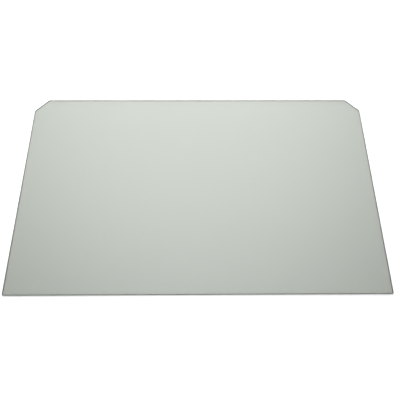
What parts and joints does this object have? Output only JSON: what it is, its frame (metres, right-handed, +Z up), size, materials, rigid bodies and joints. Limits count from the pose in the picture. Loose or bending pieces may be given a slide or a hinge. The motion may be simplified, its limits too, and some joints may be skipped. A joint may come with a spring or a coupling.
{
  "type": "refrigerator crisper cover glass",
  "caption": "Flat toughened glass pane with clipped rear corners and a ground edge, which lies in a frame and closes a refrigerator's vegetable drawers from above.",
  "frame": {"origin": "middle of the underside", "axes": "+X across the refrigerator along the pane's width, +Y towards the refrigerator's back, where the clipped corners are, +Z up through the thickness"},
  "size_m": [0.635, 0.38, 0.004],
  "materials": {
    "glass": "smooth toughened float glass, grey-green, with a fine-ground edge"
  },
  "bodies": {
    "root": {"glass_pane": "glass"}
  },
  "joints": []
}
